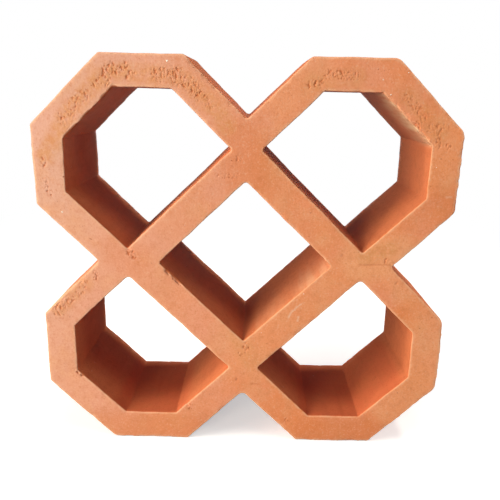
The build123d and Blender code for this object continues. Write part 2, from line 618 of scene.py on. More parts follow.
def handling_marks() -> list[MarkedBand]:
    """Lists the tears, nibbled arrises, scored lines and scrapes of the front face.

    Returns:
        Each mark at its place and as strong as it is.
    """
    torn, nibbled, scored, scraped = Mark.TORN, Mark.NIBBLED, Mark.SCORED, Mark.SCRAPED
    return [
        MarkedBand(torn, ((-97.3, 148.2), (-96.0, 146.0)), 1.6, 0.9),
        MarkedBand(torn, ((-97.0, 138.0), (-94.3, 132.3)), 1.6, 0.85),
        MarkedBand(torn, ((-86.5, 168.0), (-84.5, 165.8)), 2.4, 0.9),
        MarkedBand(torn, ((-82.0, 170.5), (-79.5, 175.0), (-75.0, 178.5)), 3.0, 0.75),
        MarkedBand(torn, ((-69.0, 183.5), (-67.5, 185.5)), 1.9, 1.1),
        MarkedBand(torn, ((-65.5, 185.0), (-63.0, 190.5)), 3.0, 1.0),
        MarkedBand(torn, ((-59.5, 189.0), (-55.5, 192.2)), 1.7, 1.1),
        MarkedBand(torn, ((-54.5, 186.0), (-53.0, 188.5)), 1.6, 1.0),
        MarkedBand(torn, ((-50.0, 188.5), (-44.0, 188.5)), 2.0, 0.5),
        MarkedBand(torn, ((-43.0, 188.3), (-41.0, 186.2)), 2.2, 1.15),
        MarkedBand(torn, ((-38.6, 189.3), (-35.5, 187.8)), 2.0, 1.0),
        MarkedBand(torn, ((-33.0, 189.0), (-31.5, 185.5), (-25.8, 183.8)), 3.2, 1.1),
        MarkedBand(torn, ((-25.0, 182.5), (-22.0, 179.0)), 3.0, 1.0),
        MarkedBand(torn, ((-20.0, 177.5), (-16.0, 173.5)), 2.6, 0.55),
        MarkedBand(torn, ((-26.5, 195.2), (-21.4, 189.9), (-14.2, 183.0)), 1.0, 0.6),
        MarkedBand(torn, ((-3.7, 151.6), (-3.6, 150.4)), 1.3, 1.1),
        MarkedBand(torn, ((-14.0, 142.2), (-4.0, 142.4)), 1.3, 0.75),
        MarkedBand(torn, ((-57.0, 103.6), (-55.2, 101.8)), 2.0, 0.9),
        MarkedBand(torn, ((-38.4, 94.2), (-31.4, 87.4)), 1.1, 1.2),
        MarkedBand(torn, ((29.0, 184.6), (32.6, 185.4)), 2.3, 0.9),
        MarkedBand(torn, ((36.0, 189.6), (49.0, 189.2)), 2.3, 0.85),
        MarkedBand(torn, ((73.0, 180.0), (77.9, 175.2), (82.0, 172.0)), 2.4, 0.68),
        MarkedBand(torn, ((79.8, 168.6), (79.0, 167.2)), 1.9, 1.1),
        MarkedBand(torn, ((85.0, 166.0), (91.8, 166.3)), 2.4, 0.62),
        MarkedBand(torn, ((88.8, 162.6), (89.2, 158.4)), 1.7, 0.80),
        MarkedBand(torn, ((93.0, 158.8), (94.6, 157.6)), 1.7, 0.70),
        MarkedBand(torn, ((63.5, 180.6), (75.0, 169.5), (86.0, 158.9)), 1.1, 0.45),
        MarkedBand(torn, ((-74.3, 92.6), (-74.4, 89.6)), 1.4, 1.0),
        MarkedBand(torn, ((-80.3, 88.2), (-82.0, 83.0), (-86.0, 79.0)), 1.9, 0.72),
        MarkedBand(torn, ((-87.5, 78.2), (-92.4, 74.4)), 2.6, 0.72),
        MarkedBand(torn, ((-92.5, 72.8), (-93.0, 69.2)), 1.8, 0.95),
        MarkedBand(torn, ((-95.0, 73.5), (-95.4, 70.8)), 1.7, 1.0),
        MarkedBand(torn, ((-86.6, 38.6), (-84.6, 36.6)), 1.5, 1.2),
        MarkedBand(torn, ((-27.7, 19.8), (-27.6, 18.2)), 1.4, 1.1),
        MarkedBand(torn, ((1.5, 54.9), (1.5, 52.2)), 1.6, 1.15),
        MarkedBand(torn, ((-2.4, 50.4), (-1.2, 49.6)), 1.4, 0.8),
        MarkedBand(torn, ((24.4, 12.4), (24.4, 10.8)), 1.4, 1.1),
        MarkedBand(torn, ((64.0, 105.5), (71.0, 101.8)), 3.4, 0.35),
        MarkedBand(scored, ((57.1, 99.4), (64.0, 99.7), (71.7, 99.8)), 0.26, 0.50),
        MarkedBand(scored, ((69.9, 103.0), (69.3, 102.3), (69.3, 101.0)), 0.38, 0.80),
        MarkedBand(scored, ((76.1, 90.6), (76.0, 90.3)), 0.42, 0.60),
        MarkedBand(scored, ((4.7, 33.2), (8.2, 33.0)), 0.26, 0.45),
        MarkedBand(scored, ((-3.0, 35.6), (-3.1, 35.2)), 0.40, 0.70),
        MarkedBand(scored, ((48.3, 104.6), (47.9, 103.9)), 0.36, 0.40),
        MarkedBand(nibbled, ((102.0, 164.0), (102.0, 127.0)), 2.0, 1.0),
        MarkedBand(nibbled, ((102.0, 70.0), (102.0, 32.0), (72.0, 0.0)), 2.0, 1.0),
        MarkedBand(nibbled, ((70.0, 0.0), (26.0, 0.0)), 2.0, 0.6),
        MarkedBand(nibbled, ((-102.0, 164.0), (-102.0, 127.0)), 2.0, 0.5),
        MarkedBand(nibbled, ((-68.0, 0.0), (-22.0, 0.0)), 2.0, 0.5),
        MarkedBand(nibbled, ((-62.0, 182.0), (-86.5, 158.3)), 2.0, 0.8),
        MarkedBand(scraped, ((22.9, 71.0), (24.0, 73.6), (25.6, 75.2)), 0.30, 0.80),
        MarkedBand(scraped, ((27.2, 69.0), (28.0, 71.4)), 0.27, 0.75),
        MarkedBand(scraped, ((26.2, 76.0), (28.9, 78.4)), 0.30, 0.80),
        MarkedBand(scraped, ((20.9, 78.9), (21.9, 80.1)), 0.30, 0.90),
        MarkedBand(scraped, ((96.2, 134.2), (98.3, 134.4)), 0.5, 0.35),
    ]


def worn_corners() -> list[WornCorner]:
    """Lists the corners that are rounder than the others.

    Returns:
        The outer corners, then the notches, then the cells' corners.
    """
    return [
        WornCorner((68.1, 197.0), 5.5),
        WornCorner((101.5, 164.6), 6.5),
        WornCorner((101.5, 126.8), 3.5),
        WornCorner((101.5, 70.2), 7.0),
        WornCorner((101.5, 32.4), 7.5),
        WornCorner((-68.1, 0.0), 5.5),
        WornCorner((0.0, 28.3), 2.8),
        WornCorner((0.0, 140.0), 1.8),
        WornCorner((58.0, 91.5), 2.6),
        WornCorner((-58.0, 91.5), 2.2),
    ]


def all_marks() -> list[MarkedBand]:
    """Every mark on the block."""
    return tone_marks() + handling_marks()


@dataclass
class CutFaces:
    """The block's front and back faces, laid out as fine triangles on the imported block's section."""

    node: bpy.types.Object
    marks: list[MarkedBand] = field(default_factory=all_marks)
    wear: list[WornCorner] = field(default_factory=worn_corners)
    # How round the die left the corners of the outer edge, and of the cells.
    outer_radius: float = 1.8
    inner_radius: float = 1.0
    # The faces end this far inside the section, to leave room for the rounded arris.
    arris: float = 0.45
    # The distance between points along a rim.
    column: float = 1.1
    # The distance between points inside: where the front is marked, elsewhere on it, and on the back.
    torn_grid: float = 0.36
    front_grid: float = 1.0
    back_grid: float = 1.9
    # How far a point strays from its row, as a share of the grid's step.
    jitter: float = 0.12
    # How clear of the rims the points stay, as a share of the grid's step.
    clearance: float = 0.55
    # How many times that clear the close points stay, because the rims' own points lie further apart.
    torn_clearance: float = 1.5
    # The weakest mark that needs close points.
    least_mark: float = 0.05
    # Sides shorter than this are parts of an arc.
    shortest_side: float = 3.0
    # How far two stretches of one straight side may turn, in radians.
    straight: float = 0.01
    # A corner is a worn one where it lies nearer than this to the worn one's place.
    corner_reach: float = 2.0
    weld: float = 0.001
    seed: int = 5

    def section(self) -> list[Outline]:
        """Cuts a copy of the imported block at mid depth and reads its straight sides.

        Returns:
            The outer edge and each cell's edge, as their sharp corners.
        """
        cut = bmesh.new()
        cut.from_mesh(self.node.data)
        bmesh.ops.remove_doubles(cut, verts=cut.verts, dist=self.weld * MM)
        low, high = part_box(self.node.name)
        whole = cut.verts[:] + cut.edges[:] + cut.faces[:]
        sliced = bmesh.ops.bisect_plane(cut, geom=whole, plane_co=(low + high) / 2, plane_no=(0, 1, 0))
        beside: dict[bmesh.types.BMVert, list[bmesh.types.BMVert]] = {}
        for edge in sliced["geom_cut"]:
            if isinstance(edge, bmesh.types.BMEdge):
                first, second = edge.verts
                beside.setdefault(first, []).append(second)
                beside.setdefault(second, []).append(first)
        loops = []
        while beside:
            loop = [next(iter(beside))]
            while onward := [vert for vert in beside.pop(loop[-1]) if vert in beside]:
                loop.append(onward[0])
            loops.append(self._sharp(np.array([(vert.co.x, vert.co.z) for vert in loop]) / MM))
        cut.free()
        widest = max(loops, key=lambda corners: np.ptp(corners[:, 0]))
        return [self._faced(corners, corners is widest) for corners in loops]

    def _sharp(self, loop: np.ndarray) -> np.ndarray:
        """Finds where the straight sides of a rounded loop would meet.

        Args:
            loop: the loop's points.

        Returns:
            The loop's sharp corners.
        """
        ways = np.roll(loop, -1, axis=0) - loop
        headings = np.arctan2(ways[:, 1], ways[:, 0])
        sides: list[list[int]] = []
        for index, heading in enumerate(headings):
            if sides and abs(math.sin(heading - headings[sides[-1][-1]])) < self.straight:
                sides[-1].append(index)
            else:
                sides.append([index])
        if abs(math.sin(headings[sides[0][0]] - headings[sides[-1][-1]])) < self.straight:
            sides[0] = sides.pop() + sides[0]
        ends = [(loop[side[0]], loop[(side[-1] + 1) % len(loop)]) for side in sides]
        ends = [(start, end) for start, end in ends if np.linalg.norm(end - start) > self.shortest_side]
        corners = []
        for (start, end), (next_start, next_end) in zip(ends, ends[1:] + ends[:1]):
            way, next_way, gap = end - start, next_end - next_start, next_start - start
            across = way[0] * next_way[1] - way[1] * next_way[0]
            along = (gap[0] * next_way[1] - gap[1] * next_way[0]) / across
            corners.append(start + way * along)
        return np.array(corners)

    def _faced(self, corners: np.ndarray, outer: bool) -> Outline:
        """Turns a loop so that the clay lies on its left.

        Args:
            corners: the loop's corners, either way round.
            outer: whether it is the block's outer edge.

        Returns:
            The outline.
        """
        after = np.roll(corners, -1, axis=0)
        area = (corners[:, 0] * after[:, 1] - corners[:, 1] * after[:, 0]).sum()
        return Outline(corners if (area > 0) == outer else corners[::-1], outer)

    def _radii(self, outline: Outline) -> np.ndarray:
        """Chooses each corner's rounding.

        Args:
            outline: the edge whose corners are rounded.

        Returns:
            One radius for each corner.
        """
        radii = np.full(len(outline.corners), self.outer_radius if outline.outer else self.inner_radius)
        for worn in self.wear:
            apart = np.linalg.norm(outline.corners - np.array(worn.at), axis=1)
            radii[apart < self.corner_reach] = worn.radius
        return radii

    def _marked(self, places: np.ndarray, mark: Mark) -> np.ndarray:
        """How strongly one kind of mark shows at each place."""
        return np.max([band.share(places) for band in self.marks if band.mark is mark], axis=0)

    def _grid(self, step: float, low: Vector, high: Vector) -> np.ndarray:
        """Lays points over the block's box in near equal triangles, with no rows that show.

        Args:
            step: the distance between points.
            low: the box's lowest corner.
            high: the box's highest corner.

        Returns:
            X and Z of each point.
        """
        loose = random.Random(self.seed)
        rise = math.sqrt(0.75)
        points = []
        for row in range(int((high.z - low.z) / (step * rise))):
            for column in range(int((high.x - low.x) / step)):
                x = low.x + (column + 0.5 * (row % 2) + loose.uniform(-self.jitter, self.jitter)) * step
                z = low.z + (row * rise + loose.uniform(-self.jitter, self.jitter)) * step
                points.append((x, z))
        return np.array(points)

    def build(self) -> bpy.types.Object:
        """Lays out both faces.

        Returns:
            One object with the two faces, its points carrying what the press needs.
        """
        low, high = (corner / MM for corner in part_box(self.node.name))
        rims = [outline.rounded(self._radii(outline), self.column) for outline in self.section()]
        coarse, close, far = (
            self._grid(step, low, high) for step in (self.front_grid, self.torn_grid, self.back_grid))
        fine = (Mark.TORN, Mark.SCORED, Mark.SCRAPED)
        plain, marked = (
            np.max([self._marked(grid, mark) for mark in fine], axis=0) > self.least_mark
            for grid in (coarse, close))
        close_clear, coarse_clear, far_clear = (
            self.clearance * step
            for step in (self.torn_grid * self.torn_clearance, self.front_grid, self.back_grid))
        front = self._triangles(rims, ((coarse[~plain], coarse_clear), (close[marked], close_clear)))
        back = self._triangles(rims, ((far, far_clear),))
        flat = np.vstack([front[0], back[0]])
        depths = np.repeat([low.y, high.y], [len(front[0]), len(back[0])])
        faces = front[3] + [[corner + len(front[0]) for corner in reversed(face)] for face in back[3]]
        mesh = bpy.data.meshes.new("cut_faces")
        mesh.from_pydata(np.column_stack([flat[:, 0], depths, flat[:, 1]]) * MM, [], faces)
        outward = np.vstack([front[1], back[1]])
        ahead = depths < 0
        values = {mark: self._marked(flat, mark) * ahead for mark in Mark}
        values[Skin.RIM_GAP] = np.concatenate([front[2], back[2]]) * MM
        for name, numbers in values.items():
            mesh.attributes.new(name.value, "FLOAT", "POINT").data.foreach_set("value", numbers)
        ways = np.column_stack([outward[:, 0], np.zeros(len(flat)), outward[:, 1]])
        directions = mesh.attributes.new(Skin.OUTWARD.value, "FLOAT_VECTOR", "POINT")
        directions.data.foreach_set("vector", ways.ravel())
        plates = bpy.data.objects.new("cut_faces", mesh)
        bpy.context.scene.collection.objects.link(plates)
        log.info("cut faces: %d points, %d triangles", len(flat), len(faces))
        return plates

    def _triangles(
            self, rims: list[tuple[np.ndarray, np.ndarray]], grids: tuple[tuple[np.ndarray, float], ...],
    ) -> tuple[np.ndarray, np.ndarray, np.ndarray, list[list[int]]]:
        """Fills a face inside its rims.

        Args:
            rims: the points along each edge of the clay, and the ways out of it.
            grids: points to lie inside, each set with how clear of the rims it stays.

        Returns:
            Each point, the way out of the clay at the nearest rim, the gap to that rim, and the triangles.
        """
        rim = np.vstack([places - outward * self.arris for places, outward in rims])
        ways = np.vstack([outward for _, outward in rims])
        near = KDTree(len(rim))
        for index, (x, z) in enumerate(rim):
            near.insert((x, z, 0.0), index)
        near.balance()
        edges, start = [], 0
        for places, _ in rims:
            edges += [(start + index, start + (index + 1) % len(places)) for index in range(len(places))]
            start += len(places)
        points, outward, gaps = list(rim), list(ways), [0.0] * len(rim)
        for grid, clear in grids:
            for x, z in grid:
                _, index, gap = near.find((x, z, 0.0))
                beyond = (x - rim[index][0]) * ways[index][0] + (z - rim[index][1]) * ways[index][1]
                if gap > clear and beyond < 0:
                    points.append(np.array([x, z]))
                    outward.append(ways[index])
                    gaps.append(gap)
        inside_edges = 1
        same_place = 1e-6
        laid = delaunay_2d_cdt([Vector(point) for point in points], edges, [], inside_edges, same_place)
        source = [origins[0] for origins in laid[3]]
        triangles = [[source[corner] for corner in triangle] for triangle in laid[2]]
        ends = rim[np.array(edges)]
        kept = [corners for corners in triangles
                if max(corners) >= len(rim) or self._in_clay(np.mean(rim[corners], axis=0), ends)]
        return np.array(points), np.array(outward), np.array(gaps), kept

    def _in_clay(self, place: np.ndarray, ends: np.ndarray) -> bool:
        """Tells clay from a cell by counting the edges that a line along X crosses.

        Args:
            place: X and Z.
            ends: both ends of each edge.

        Returns:
            Whether the place is in the clay.
        """
        first, second = ends[:, 0], ends[:, 1]
        crossed = (first[:, 1] > place[1]) != (second[:, 1] > place[1])
        first, second = first[crossed], second[crossed]
        share = (place[1] - first[:, 1]) / (second[:, 1] - first[:, 1])
        return bool(np.sum(first[:, 0] + share * (second[:, 0] - first[:, 0]) > place[0]) % 2)


@dataclass(frozen=True)
class Unevenness:
    """One kind of unevenness in the clay, read by the press from the tree's own inputs."""

    # The input that gives its length, and how many times as long it is along X, Y and Z.
    length: str
    stretch: tuple[float, float, float] = (1.0, 1.0, 1.0)
    # The noise, from about 0.2 to 0.8, at which it starts and at which it is full.
    start: float = 0.3
    full: float = 0.7
    # Added to the seed, so that no two kinds fall together.
    offset: float = 0.0
    # How many finer layers lie on it, and how strong each is, as a share of the coarser one before it.
    finer: float = 2.0
    finer_share: float = 0.55

    def lay(self, tree: bpy.types.NodeTree, size: bpy.types.NodeOutputs) -> bpy.types.NodeSocket:
        """Lays the unevenness over the skin.

        Args:
            tree: the press's tree.
            size: the tree's inputs.

        Returns:
            How much of it shows at each point, from 0 to 1.
        """
        place = add(tree, "GeometryNodeInputPosition")
        shaped = add(tree, "ShaderNodeVectorMath", {0: place, 1: self.stretch}, operation="DIVIDE")
        per_metre = add(tree, "ShaderNodeMath", {0: 1.0, 1: size[self.length]}, operation="DIVIDE")
        scaled = add(tree, "ShaderNodeVectorMath", {0: shaped, "Scale": per_metre}, operation="SCALE")
        seed = add(tree, "ShaderNodeMath", {0: size["seed"], 1: self.offset}, operation="ADD")
        noise = add(tree, "ShaderNodeTexNoise", {
            "Vector": scaled, "W": seed, "Scale": 1.0, "Detail": self.finer, "Roughness": self.finer_share,
        }, noise_dimensions="4D")
        return add(tree, "ShaderNodeMapRange", {
            "Value": noise, "From Min": self.start, "From Max": self.full}, interpolation_type="SMOOTHSTEP")


@dataclass
class ScreenBlock:
    """The whole block: its two cut faces, pressed through the depth into one closed piece of clay."""

    node: bpy.types.Object
    finish: FiredTerracotta = field(default_factory=FiredTerracotta)
    # The arrises' rounding, and how many rows turn it.
    arris: float = 0.45
    arris_steps: int = 4
    # The walls' rows lie closer together near the front, where more of them shows.
    wall_rows: int = 19
    row_growth: float = 1.4
    # How far from an arris a wall's unevenness still moves the face, chips break off, and hands rub and a
    # highlight is painted.
    edge_reach: float = 4.0
    chip_reach: float = 1.6
    rub_and_highlight_reach: float = 0.45
    # Face and wall move as one as far as this many times the rounding from the arris.
    edge_share: float = 1.5
    # The slow sway and the die's ripple, and how much of that ripple the faces have.
    sway_depth: float = 0.36
    sway_length: float = 42.0
    ripple_depth: float = 0.16
    ripple_length: float = 8.0
    face_ripple: float = 0.45
    # Pits, and the ruffled clay round them.
    pit_depth: float = 0.24
    pit_length: float = 0.85
    ruffle_depth: float = 0.08
    # Chips broken off the arrises, and nibbles that move their line sideways only.
    chip_depth: float = 0.9
    chip_length: float = 3.4
    nibble_depth: float = 0.7
    nibble_length: float = 4.0
    # How much of the full depth the many small chips and the few large ones reach.
    small_share: float = 0.28
    large_share: float = 0.45
    # How torn the clay is where the first pits show, and where all of them do.
    torn_from: float = 0.15
    torn_full: float = 0.95
    # How far behind the front face its tears, and its dust with its painted light, reach.
    front_fade: float = 2.5
    dust_and_light_reach: float = 42.0
    # Points that the press welds lie nearer than this.
    weld: float = 0.01
    seed: int = 11
    # The die's kinds are longest along the depth, and what the wire tore stands upright.
    sway: Unevenness = Unevenness("sway_length", (1.0, 2.0, 1.0))
    die: Unevenness = Unevenness("ripple_length", (1.0, 5.0, 1.0), offset=1.0, finer=3.0)
    wire: Unevenness = Unevenness("ripple_length", (1.5, 1.5, 1.5), offset=2.0)
    tear: Unevenness = Unevenness("pit_length", (1.15, 3.0, 2.3), 0.555, 0.66, 5.0, 0.6)
    hole: Unevenness = Unevenness("pit_length", (0.85, 3.0, 1.1), 0.60, 0.69, 9.0, 0.6)
    ruffle: Unevenness = Unevenness("pit_length", (1.1, 3.0, 1.9), 0.32, 0.68, 7.0, 1.0)
    nibble: Unevenness = Unevenness("nibble_length", (1.0, 2.0, 1.0), 0.43, 0.56, 37.0, 1.0)
    small_chip: Unevenness = Unevenness("chip_length", (1.0, 1.0, 1.0), 0.46, 0.74, 17.0)
    large_chip: Unevenness = Unevenness("chip_length", (2.5, 2.5, 2.5), 0.66, 0.78, 27.0)
    torn_chip: Unevenness = Unevenness("chip_length", (0.8, 0.8, 0.8), 0.42, 0.58, 29.0)

    def build(self) -> bpy.types.Object:
        """Makes the block and stands it in for its node.

        Returns:
            The block's piece.
        """
        faces = CutFaces(self.node, arris=self.arris).build()
        lip = self._die_lip()
        tree, found = self._tree()
        press = faces.modifiers.new("press", "NODES")
        press.node_group = tree
        for name in self._lengths():
            press[found[name]] = getattr(self, name) * MM
        press[found["seed"]] = float(self.seed)
        press[found["rows"]] = len(lip.data.vertices)
        press[found["die_lip"]] = lip
        press[found["clay"]] = self.finish.build()
        piece = kept_mesh(faces, "clay_block")
        bpy.data.meshes.remove(lip.data)
        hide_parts(self.node.name)
        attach(piece, ROOT_BODY)
        log.info("%s: %d triangles", piece.name, sum(len(face.vertices) - 2 for face in piece.data.polygons))
        return piece

    def _lengths(self) -> tuple[str, ...]:
        """Names the fields that the press takes as lengths."""
        return ("edge_reach", "chip_reach", "rub_and_highlight_reach", "sway_depth", "sway_length", "ripple_depth",
                "ripple_length", "pit_depth", "pit_length", "ruffle_depth", "chip_depth", "chip_length",
                "nibble_depth", "nibble_length", "front_fade", "dust_and_light_reach")

    def _die_lip(self) -> bpy.types.Object:
        """Lays out the rows that the press follows: round the front arris, back along the wall, round again.

        Returns:
            An object with one point for each row. Its X is how far out of the rim, its Y how deep.
        """
        low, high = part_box(self.node.name)
        depth = (high.y - low.y) / MM
        rows = []
        for step in range(1, self.arris_steps + 1):
            angle = math.pi / 2 * step / self.arris_steps
            rows.append((self.arris * math.sin(angle), self.arris * (1 - math.cos(angle))))
        straight = depth - 2 * self.arris
        for row in range(1, self.wall_rows + 1):
            rows.append((self.arris, self.arris + straight * (row / self.wall_rows) ** self.row_growth))
        rows += [(out, depth - deep) for out, deep in reversed(rows[:self.arris_steps - 1])]
        rows.append((0.0, depth))
        mesh = bpy.data.meshes.new("die_lip")
        mesh.from_pydata([(out * MM, deep * MM, 0.0) for out, deep in rows], [], [])
        return bpy.data.objects.new("die_lip", mesh)

    def _tree(self) -> tuple[bpy.types.NodeTree, dict[str, str]]:
        """Builds the press.

        Returns:
            The tree, and each input's identifier by its name.
        """
        tree = bpy.data.node_groups.new("clay_press", "GeometryNodeTree")
        kinds = {"Geometry": "NodeSocketGeometry"}
        kinds |= {name: "NodeSocketFloat" for name in (*self._lengths(), "seed")}
        kinds |= {"rows": "NodeSocketInt", "die_lip": "NodeSocketObject", "clay": "NodeSocketMaterial"}
        found = {name: tree.interface.new_socket(name, in_out="INPUT", socket_type=kind).identifier
                 for name, kind in kinds.items()}
        tree.interface.new_socket("Geometry", in_out="OUTPUT", socket_type="NodeSocketGeometry")
        size = add(tree, "NodeGroupInput").node.outputs
        geometry = self._pressed(tree, size)
        geometry = self._measured(tree, size, geometry)
        geometry = self._weathered(tree, size, geometry)
        low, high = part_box(self.node.name)
        spare = (self.sway_depth + self.ripple_depth) * MM / 2
        lifted = self.ruffle_depth * MM
        shrunk = [1 - 2 * less / (end - start) for less, start, end in zip((spare, lifted, spare), low, high)]
        geometry = add(tree, "GeometryNodeTransform", {
            "Geometry": geometry, "Scale": shrunk, "Translation": (0.0, 0.0, spare)})
        geometry = add(tree, "GeometryNodeSetShadeSmooth", {"Geometry": geometry})
        for name in (name for name in (*Skin, *Mark) if name not in SHOWN):
            geometry = add(tree, "GeometryNodeRemoveAttribute", {"Geometry": geometry, "Name": name.value})
        geometry = add(tree, "GeometryNodeRealizeInstances", {"Geometry": geometry})
        geometry = add(tree, "GeometryNodeSetMaterial", {"Geometry": geometry, "Material": size["clay"]})
        add(tree, "NodeGroupOutput", {"Geometry": geometry})
        return tree, found

    def _pressed(self, tree: bpy.types.NodeTree, size: bpy.types.NodeOutputs) -> bpy.types.NodeSocket:
        """Draws the front face's rims back through the depth, row by row, and welds them to the back face.

        Args:
            tree: the press's tree.
            size: the tree's inputs.

        Returns:
            The closed block.
        """
        place = add(tree, "GeometryNodeInputPosition")
        depth = add(tree, "ShaderNodeSeparateXYZ", {0: place}, "Y")
        sides = add(tree, "GeometryNodeInputMeshEdgeNeighbors")
        open_edge = add(tree, "FunctionNodeCompare", {2: sides, 3: 1}, data_type="INT", operation="EQUAL")
        ahead = add(tree, "FunctionNodeCompare", {0: depth, 1: 0.0}, data_type="FLOAT", operation="LESS_THAN")
        rim = add(tree, "FunctionNodeBooleanMath", {0: open_edge, 1: ahead}, operation="AND")
        noted = add(tree, "GeometryNodeStoreNamedAttribute", {
            "Geometry": size["Geometry"], "Name": Skin.RIM_PLACE.value, "Value": place,
        }, data_type="FLOAT_VECTOR")

        end = add(tree, "GeometryNodeRepeatOutput").node
        start = add(tree, "GeometryNodeRepeatInput").node
        start.pair_with_output(end)
        end.repeat_items.clear()
        end.repeat_items.new("GEOMETRY", "Block")
        end.repeat_items.new("BOOLEAN", "Rim")
        tree.links.new(size["rows"], start.inputs["Iterations"])
        tree.links.new(noted, start.inputs["Block"])
        tree.links.new(rim, start.inputs["Rim"])
        drawn = add(tree, "GeometryNodeExtrudeMesh", {
            "Mesh": start.outputs["Block"], "Selection": start.outputs["Rim"], "Offset Scale": 0.0,
        }, mode="EDGES").node
        lip = add(tree, "GeometryNodeObjectInfo", {"Object": size["die_lip"]}, "Geometry")
        row = add(tree, "GeometryNodeSampleIndex", {
            "Geometry": lip, "Value": place, "Index": start.outputs["Iteration"]}, data_type="FLOAT_VECTOR")
        row = add(tree, "ShaderNodeSeparateXYZ", {0: row}).node.outputs
        rim_place, outward = (
            add(tree, "GeometryNodeInputNamedAttribute", {"Name": name.value}, data_type="FLOAT_VECTOR")
            for name in (Skin.RIM_PLACE, Skin.OUTWARD))
        out = add(tree, "ShaderNodeVectorMath", {0: outward, "Scale": row["X"]}, operation="SCALE")
        deep = add(tree, "ShaderNodeCombineXYZ", {"Y": row["Y"]})
        moved = add(tree, "ShaderNodeVectorMath", {0: out, 1: deep}, operation="ADD")
        moved = add(tree, "ShaderNodeVectorMath", {0: rim_place, 1: moved}, operation="ADD")
        laid = add(tree, "GeometryNodeSetPosition", {
            "Geometry": drawn.outputs["Mesh"], "Selection": drawn.outputs["Top"], "Position": moved})
        tree.links.new(laid, end.inputs["Block"])
        tree.links.new(drawn.outputs["Top"], end.inputs["Rim"])
        return add(tree, "GeometryNodeMergeByDistance", {
            "Geometry": end.outputs["Block"], "Distance": self.weld * MM})

    def _measured(self, tree: bpy.types.NodeTree, size: bpy.types.NodeOutputs,
                  geometry: bpy.types.NodeSocket) -> bpy.types.NodeSocket:
        """Notes how far each point is from an arris, and how square it faces the cut.

        Args:
            tree: the press's tree.
            size: the tree's inputs.
            geometry: the closed block.

        Returns:
            The block with those notes, and with marks only near the front.
        """
        normal = add(tree, "GeometryNodeInputNormal")
        place = add(tree, "GeometryNodeInputPosition")
        deep = add(tree, "ShaderNodeSeparateXYZ", {0: place}, "Y")
        facing = add(tree, "ShaderNodeMath", {
            0: add(tree, "ShaderNodeSeparateXYZ", {0: normal}, "Y")}, operation="ABSOLUTE")
        low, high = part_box(self.node.name)
        behind = add(tree, "ShaderNodeMath", {0: deep, 1: low.y}, operation="SUBTRACT")
        before = add(tree, "ShaderNodeMath", {0: high.y, 1: deep}, operation="SUBTRACT")
        on_wall = add(tree, "ShaderNodeMath", {0: behind, 1: before}, operation="MINIMUM")
        gap, torn, scraped, dusted = (
            add(tree, "GeometryNodeInputNamedAttribute", {"Name": name.value}, data_type="FLOAT")
            for name in (Skin.RIM_GAP, Mark.TORN, Mark.SCRAPED, Mark.DUSTED))
        gap = add(tree, "ShaderNodeMath", {0: gap, 1: on_wall}, operation="ADD")
        fade, dust_and_light_fade, arris, rubbed = (
            add(tree, "ShaderNodeMapRange", {"Value": distance, "From Min": size[reach], "From Max": 0.0},
                interpolation_type="SMOOTHSTEP")
            for distance, reach in (
                (behind, "front_fade"), (behind, "dust_and_light_reach"), (gap, "chip_reach"), (gap, "rub_and_highlight_reach")))
        noted = {
            Skin.RIM_GAP: gap,
            Skin.CUT_FACE: facing,
            Mark.TORN: add(tree, "ShaderNodeMath", {0: torn, 1: fade}, operation="MULTIPLY"),
            Mark.SCRAPED: add(tree, "ShaderNodeMath", {0: scraped, 1: facing}, operation="MULTIPLY"),
            Mark.DUSTED: add(tree, "ShaderNodeMath", {0: dusted, 1: dust_and_light_fade}, operation="MULTIPLY"),
            Skin.ARRIS: arris,
            Skin.RUBBED: rubbed,
        }
        for name, value in noted.items():
            geometry = add(tree, "GeometryNodeStoreNamedAttribute", {
                "Geometry": geometry, "Name": name.value, "Value": value})
        return geometry

    def _weathered(self, tree: bpy.types.NodeTree, size: bpy.types.NodeOutputs,
                   geometry: bpy.types.NodeSocket) -> bpy.types.NodeSocket:
        """Sinks the skin: broad sway, the die's ripple, the wire's pits, and chips along the arrises.

        Args:
            tree: the press's tree.
            size: the tree's inputs.
            geometry: the block with its notes.

        Returns:
            The uneven block.
        """
        gap, face, arris, torn, nibbled, scored = (
            add(tree, "GeometryNodeInputNamedAttribute", {"Name": name.value}, data_type="FLOAT")
            for name in (Skin.RIM_GAP, Skin.CUT_FACE, Skin.ARRIS, Mark.TORN, Mark.NIBBLED, Mark.SCORED))
        outward = add(tree, "GeometryNodeInputNamedAttribute", {
            "Name": Skin.OUTWARD.value}, data_type="FLOAT_VECTOR")
        place = add(tree, "GeometryNodeInputPosition")
        deep = add(tree, "ShaderNodeSeparateXYZ", {0: place}, "Y")
        inward = add(tree, "ShaderNodeMath", {
            0: add(tree, "ShaderNodeMath", {0: deep}, operation="SIGN"), 1: -1.0}, operation="MULTIPLY")

        near = add(tree, "ShaderNodeMapRange", {
            "Value": gap, "From Min": size["edge_reach"], "From Max": self.arris * MM * self.edge_share,
        }, interpolation_type="SMOOTHSTEP")
        wall = add(tree, "ShaderNodeMath", {0: 1.0, 1: face}, operation="SUBTRACT")
        wall_share = add(tree, "ShaderNodeMath", {0: wall, 1: near}, operation="MAXIMUM")
        face_share = add(tree, "ShaderNodeMath", {0: face, 1: near}, operation="MAXIMUM")

        sway, die, wire, ruffle, bumped = (
            kind.lay(tree, size) for kind in (self.sway, self.die, self.wire, self.ruffle, self.nibble))
        sunk = add(tree, "ShaderNodeMath", {0: sway, 1: size["sway_depth"]}, operation="MULTIPLY")
        wall_sunk = add(tree, "ShaderNodeMath", {
            0: die, 1: size["ripple_depth"], 2: sunk}, operation="MULTIPLY_ADD")
